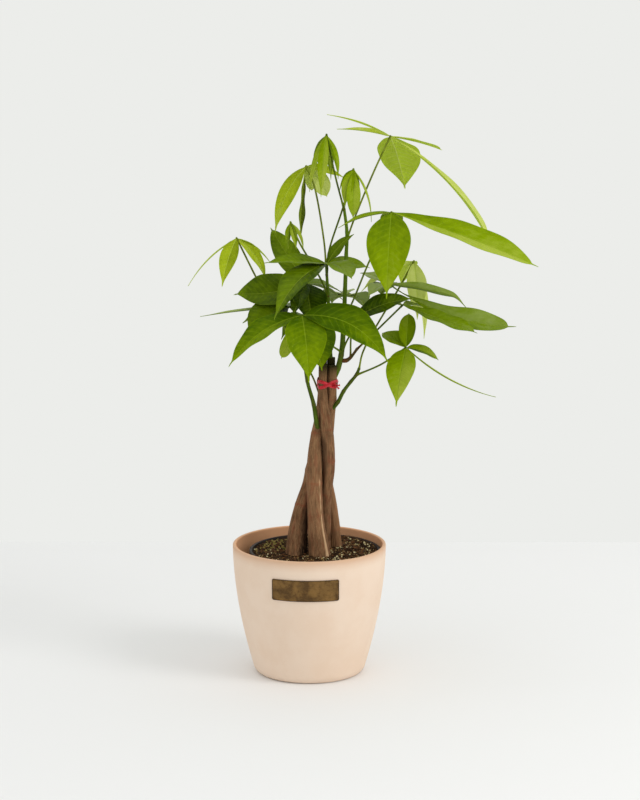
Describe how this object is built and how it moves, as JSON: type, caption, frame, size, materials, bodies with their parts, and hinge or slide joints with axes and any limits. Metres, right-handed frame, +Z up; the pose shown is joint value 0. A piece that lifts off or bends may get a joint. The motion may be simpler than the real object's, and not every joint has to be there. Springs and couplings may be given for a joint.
{
  "type": "potted money tree",
  "caption": "Braided-trunk money tree with palmate leaves, growing in soil in a black nursery pot inside a round tapered planter with a blank metal plate.",
  "frame": {"origin": "centre of the planter's flat underside, on the surface it stands on", "axes": "+Z up, -Y the front with the plate, +X to the right as seen from the front"},
  "size_m": [0.3673, 0.2499, 0.6051],
  "materials": {
    "planter_ceramic": "matte",
    "bronze_metal": "satin",
    "black_plastic": "matte",
    "potting_mix": "rough, loose",
    "bark": "rough, natural",
    "red_tie": "satin",
    "green_stem": "smooth, natural",
    "brown_stem": "smooth, natural",
    "leaf_mature": "satin",
    "leaf_fresh": "satin",
    "leaf_young": "satin"
  },
  "bodies": {
    "root": {"planter": "planter_ceramic", "name_plate": "bronze_metal", "nursery_pot": "black_plastic", "soil": "potting_mix", "trunk_front": "bark", "trunk_middle": "bark", "trunk_right": "bark", "trunk_left": "bark", "twist_tie": "red_tie", "shoot_main": "green_stem", "shoot_second": "green_stem", "shoot_left": "green_stem", "shoot_right": "green_stem", "shoot_side": "brown_stem", "frond_wide_right": "leaf_fresh", "frond_crown": "leaf_fresh", "frond_young_middle": "leaf_fresh", "frond_young_left": "leaf_fresh", "frond_front_low": "leaf_fresh", "frond_low_right": "leaf_fresh", "frond_middle_front": "leaf_mature", "frond_centre_left": "leaf_mature", "frond_left_low": "leaf_mature", "frond_right_long": "leaf_mature", "frond_right_lower": "leaf_mature", "frond_right_inner": "leaf_mature", "frond_back": "leaf_mature", "frond_back_low": "leaf_mature", "frond_high_right": "leaf_young", "frond_high_left": "leaf_young", "frond_far_left": "leaf_young", "frond_right_back": "leaf_young"}
  },
  "joints": []
}
